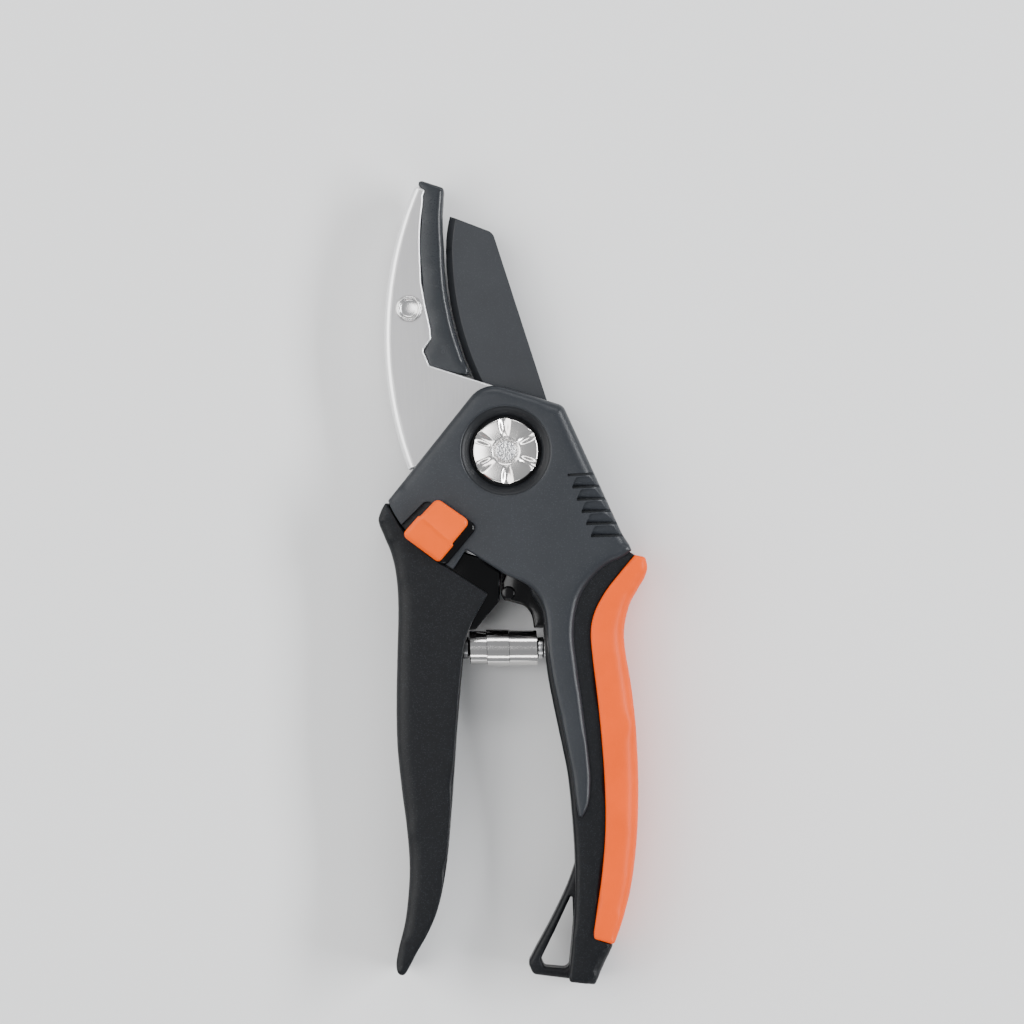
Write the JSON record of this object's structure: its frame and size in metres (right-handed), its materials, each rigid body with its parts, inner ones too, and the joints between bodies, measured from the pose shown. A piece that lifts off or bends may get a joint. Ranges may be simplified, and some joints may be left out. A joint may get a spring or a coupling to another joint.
{
  "type": "anvil pruner",
  "caption": "Hand pruner with a straight blade that closes on a fixed anvil, black handles with an orange grip inlay, a volute spring, a rosette pivot nut and a thumb slide lock.",
  "frame": {"origin": "on the pivot axis, at the outer face of the pivot bolt's head, which is the plane that the back of the tool rests on", "axes": "+Z along the pivot axis from the back to the front of the tool, +Y from the pivot towards the jaw tip, +X to the right when the front is seen with the jaws up"},
  "size_m": [0.0613, 0.1836, 0.0214],
  "materials": {
    "satin_steel": "satin, with a bright rounded fold and edge",
    "dark_anvil": "dark, semi-gloss, rounded face",
    "rivet_steel": "bright tubular rivet",
    "body_plastic": "black, fine grain",
    "orange_grip": "orange soft-touch, fine grain",
    "bolt_steel": "bright zinc",
    "nut_nickel": "polished nickel",
    "washer_steel": "plain",
    "bronze": "plain",
    "screw_steel": "zinc",
    "seat_steel": "bright turned steel",
    "spring_chrome": "polished strip",
    "bumper_rubber": "matte black",
    "coated_blade": "dark non-stick coating with a fine sparkle",
    "lever_plastic": "black, fine sparkling grain",
    "orange_cap": "orange, semi-gloss",
    "lock_plastic": "glossy black"
  },
  "bodies": {
    "body": {"anvil_frame": "satin_steel", "anvil": "dark_anvil", "anvil_rivet": "rivet_steel", "body_front_shell": "body_plastic", "body_back_shell": "body_plastic", "grip_inlay": "orange_grip", "pivot_bolt": "bolt_steel", "pivot_nut": "nut_nickel", "nut_washer": "washer_steel", "friction_washers": "bronze", "body_screws": "screw_steel", "tang_spacers": "washer_steel", "spring_seat_right": "seat_steel", "volute_spring": "spring_chrome", "stop_bumper": "bumper_rubber", "lock_detent_spring": "washer_steel"},
    "lever": {"blade": "coated_blade", "pivot_bush": "bronze", "gate_plate": "washer_steel", "gate_rivets": "rivet_steel", "lever_front_shell": "lever_plastic", "lever_back_shell": "lever_plastic", "lever_screws": "screw_steel", "spring_seat_left": "seat_steel"},
    "lock": {"lock_cap": "orange_cap", "lock_slide": "lock_plastic", "lock_pin": "seat_steel", "lock_retainer": "washer_steel"}
  },
  "joints": [
    {"name": "lever_hinge", "type": "hinge", "parent": "body", "child": "lever", "pos_m": [0, 0, 0.0085], "axis": [0, 0, -1], "range_deg": [0, 26], "deforming": ["volute_spring"]},
    {"name": "lock_slide_joint", "type": "slide", "parent": "body", "child": "lock", "axis": [0.6574, 0.7536, 0], "range_m": [0, 0.0035]}
  ]
}
